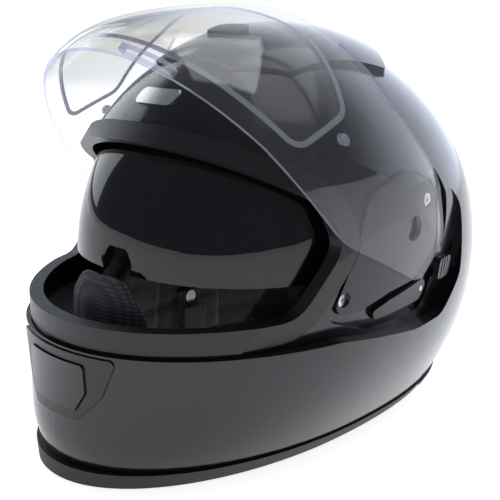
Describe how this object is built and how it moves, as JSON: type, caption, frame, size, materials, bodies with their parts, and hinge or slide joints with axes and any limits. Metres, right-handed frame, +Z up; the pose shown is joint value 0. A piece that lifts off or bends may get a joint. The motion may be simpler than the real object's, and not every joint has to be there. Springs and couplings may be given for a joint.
{
  "type": "motorcycle helmet",
  "caption": "Full-face motorcycle helmet with a clear hinged face shield, a smoked inner sun visor, sliding and flip vents, padded liner and strap.",
  "frame": {"origin": "on the plane the helmet stands on, midway between the front of the chin bar and the back of the shell, on the middle plane", "axes": "-Y is the front, +X is the wearer's left, +Z is up"},
  "size_m": [0.25, 0.361, 0.2795],
  "materials": {
    "shell_gloss": "clear-coated gloss black",
    "trim_rubber": "moulded rubber",
    "skirt_plastic": "fine grained",
    "gasket_rubber": "soft satin rubber",
    "crash_foam": "expanded bead foam",
    "liner_knit": "brushed knit",
    "guard_fabric": "woven, padded",
    "mechanism_plastic": "fine spark-eroded texture",
    "vent_plastic": "satin",
    "mesh_plastic": "perforated screen",
    "badge_metal": "brushed, clear lacquer",
    "steel": "zinc plated",
    "webbing": "flat woven webbing",
    "shield_clear": "hard-coated clear polycarbonate",
    "insert_clear": "clear anti-fog sheet",
    "insert_bead": "translucent silicone",
    "visor_smoke": "dark smoke polycarbonate"
  },
  "bodies": {
    "helmet": {"outer_shell": "shell_gloss", "lower_edge_trim": "trim_rubber", "rear_skirt": "skirt_plastic", "eyeport_gasket": "gasket_rubber", "head_foam": "crash_foam", "chin_foam": "crash_foam", "crown_liner": "liner_knit", "neck_roll": "liner_knit", "breath_guard": "guard_fabric", "cheek_pad_left": "liner_knit", "cheek_pad_right": "liner_knit", "base_plate_left": "mechanism_plastic", "base_plate_right": "mechanism_plastic", "plate_screws": "steel", "lever_pins": "steel", "sun_visor_brackets": "mechanism_plastic", "chin_vent_housing": "vent_plastic", "chin_vent_mesh": "mesh_plastic", "brow_badge": "badge_metal", "top_spoiler": "shell_gloss", "spoiler_outlet": "vent_plastic", "chin_strap_left": "webbing", "chin_strap_right": "webbing", "strap_rivets": "steel"},
    "face_shield": {"face_shield": "shield_clear", "fog_insert": "insert_clear", "fog_seal": "insert_bead", "fog_pins": "insert_bead"},
    "sun_visor": {"sun_visor": "visor_smoke", "sun_visor_arms": "mechanism_plastic"},
    "sun_slider": {"sun_slider": "mechanism_plastic"},
    "chin_vent_shutter": {"chin_vent_shutter": "shell_gloss"},
    "top_vent_slider": {"top_vent_slider": "mechanism_plastic"},
    "release_lever_left": {"release_lever_left": "mechanism_plastic"},
    "release_lever_right": {"release_lever_right": "mechanism_plastic"},
    "d_rings": {"d_rings": "steel"}
  },
  "joints": [
    {"name": "face_shield_hinge", "type": "hinge", "parent": "helmet", "child": "face_shield", "pos_m": [0, 0.003, 0.144], "axis": [1, 0, 0], "range_deg": [0, 49]},
    {"name": "sun_visor_hinge", "type": "hinge", "parent": "helmet", "child": "sun_visor", "pos_m": [0, 0.001, 0.116], "axis": [1, 0, 0], "range_deg": [-36, 0]},
    {"name": "sun_slider_slide", "type": "slide", "parent": "helmet", "child": "sun_slider", "axis": [-0.12, 0.9928, 0], "range_m": [0, 0.008]},
    {"name": "chin_vent_hinge", "type": "hinge", "parent": "helmet", "child": "chin_vent_shutter", "pos_m": [0, -0.1794, 0.0464], "axis": [1, 0, 0], "range_deg": [0, 20]},
    {"name": "top_vent_slide", "type": "slide", "parent": "helmet", "child": "top_vent_slider", "axis": [0, 0.9272, 0.3746], "range_m": [0, 0.008]},
    {"name": "release_lever_left_hinge", "type": "hinge", "parent": "helmet", "child": "release_lever_left", "pos_m": [0.116, 0.024, 0.1], "axis": [1, 0, 0], "range_deg": [0, 4], "stiffness_Nm_per_rad": 1.2},
    {"name": "release_lever_right_hinge", "type": "hinge", "parent": "helmet", "child": "release_lever_right", "pos_m": [-0.116, 0.024, 0.1], "axis": [1, 0, 0], "range_deg": [0, 4], "stiffness_Nm_per_rad": 1.2},
    {"name": "d_ring_hinge", "type": "hinge", "parent": "helmet", "child": "d_rings", "pos_m": [0.0594, -0.014, 0.034], "axis": [0, 1, 0], "range_deg": [-5, 25]}
  ],
  "couplings": [
    {"joint": "sun_slider_slide", "follows": "sun_visor_hinge", "m_per_rad": -0.012732}
  ]
}
